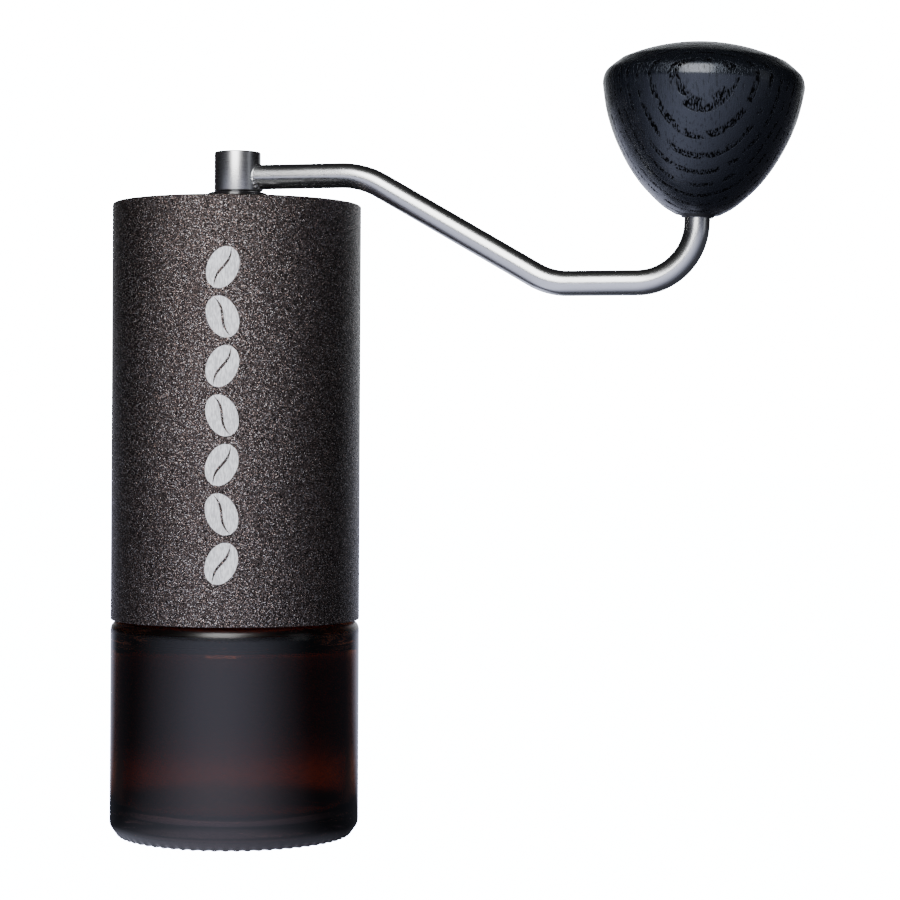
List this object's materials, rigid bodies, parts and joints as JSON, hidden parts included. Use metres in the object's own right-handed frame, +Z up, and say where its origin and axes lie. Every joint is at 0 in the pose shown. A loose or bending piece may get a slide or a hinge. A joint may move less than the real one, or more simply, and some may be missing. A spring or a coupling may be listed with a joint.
{
  "type": "hand crank coffee grinder",
  "caption": "Cylindrical hand coffee grinder with a screw-on glass jar, conical burrs, a lift-off lid and a bent steel crank arm with a turning wooden knob.",
  "frame": {"origin": "middle of the flat face under the jar, which the grinder stands on", "axes": "+Z up along the crank axle; +X towards the crank arm and its knob; Y across the arm"},
  "size_m": [0.1667, 0.06, 0.1878],
  "materials": {
    "amber_glass": "dark amber glass, polished",
    "black_rubber": "matt",
    "coated_steel": "dark brown sparkling powder coat, fine texture",
    "black_polymer": "moulded, satin",
    "gloss_polymer": "polished",
    "fastener_steel": "plain stainless",
    "burr_steel": "ground and hardened",
    "bearing_steel": "ground",
    "axle_steel": "turned stainless",
    "spring_steel": "drawn wire",
    "brass": "turned",
    "brushed_steel": "brushed round the hub",
    "satin_steel": "satin polished along the rod",
    "black_oak": "black stained open-pored oak, oiled"
  },
  "bodies": {
    "jar": {"jar": "amber_glass"},
    "jar_thread": {"jar_seal_ring": "black_rubber"},
    "grinder_body": {"outer_shell": "coated_steel", "hopper_liner": "black_polymer", "lower_frame": "black_polymer", "bearing_bridge": "black_polymer", "bridge_screw_1": "fastener_steel", "bridge_screw_2": "fastener_steel", "bridge_screw_3": "fastener_steel", "ring_burr": "burr_steel", "burr_retaining_ring": "fastener_steel", "lower_bearing_outer_race": "bearing_steel", "upper_bearing_outer_race": "bearing_steel"},
    "axle": {"axle": "axle_steel", "drive_pin": "fastener_steel", "lower_circlip": "fastener_steel", "upper_circlip": "fastener_steel", "spring_washer": "fastener_steel", "burr_spring": "spring_steel", "lower_bearing_inner_race": "bearing_steel", "upper_bearing_inner_race": "bearing_steel"},
    "burr": {"inner_burr": "burr_steel", "click_plate": "fastener_steel"},
    "dial": {"adjustment_dial": "black_polymer", "dial_nut": "brass", "detent_ball_1": "bearing_steel", "detent_ball_2": "bearing_steel", "detent_spring_1": "spring_steel", "detent_spring_2": "spring_steel"},
    "lid": {"lid": "gloss_polymer", "lid_seal": "black_rubber"},
    "crank": {"crank_hub": "brushed_steel", "crank_rod": "satin_steel", "knob_washer": "fastener_steel", "knob_clip": "fastener_steel"},
    "knob": {"knob": "black_oak", "knob_bush": "black_polymer"}
  },
  "joints": [
    {"name": "jar_lift", "type": "slide", "parent": "jar", "child": "jar_thread", "axis": [0, 0, 1], "range_m": [0, 0.006]},
    {"name": "jar_turn", "type": "hinge", "parent": "jar_thread", "child": "grinder_body", "pos_m": [0, 0, 0.0624], "axis": [0, 0, 1], "range_deg": [0, 540]},
    {"name": "crank_turn", "type": "hinge", "parent": "grinder_body", "child": "axle", "pos_m": [0, 0, 0.1], "axis": [0, 0, 1], "continuous": true},
    {"name": "burr_gap", "type": "slide", "parent": "axle", "child": "burr", "axis": [0, 0, -1], "range_m": [0, 0.00108], "deforming": ["burr_spring"]},
    {"name": "dial_turn", "type": "hinge", "parent": "burr", "child": "dial", "pos_m": [0, 0, 0.059], "axis": [0, 0, -1], "range_deg": [0, 1080]},
    {"name": "crank_lift", "type": "slide", "parent": "axle", "child": "crank", "axis": [0, 0, 1], "range_m": [0, 0.03]},
    {"name": "lid_lift", "type": "slide", "parent": "grinder_body", "child": "lid", "axis": [0, 0, 1], "range_m": [0, 0.0136]},
    {"name": "knob_spin", "type": "hinge", "parent": "crank", "child": "knob", "pos_m": [0.11213, 0, 0.147], "axis": [0.0419, 0, 0.9991], "continuous": true}
  ],
  "couplings": [
    {"joint": "jar_lift", "follows": "jar_turn", "m_per_rad": 0.00063662},
    {"joint": "dial_turn", "follows": "burr_gap", "rad_per_m": 17453},
    {"joint": "lid_lift", "follows": "crank_lift", "ratio": 0.45}
  ]
}
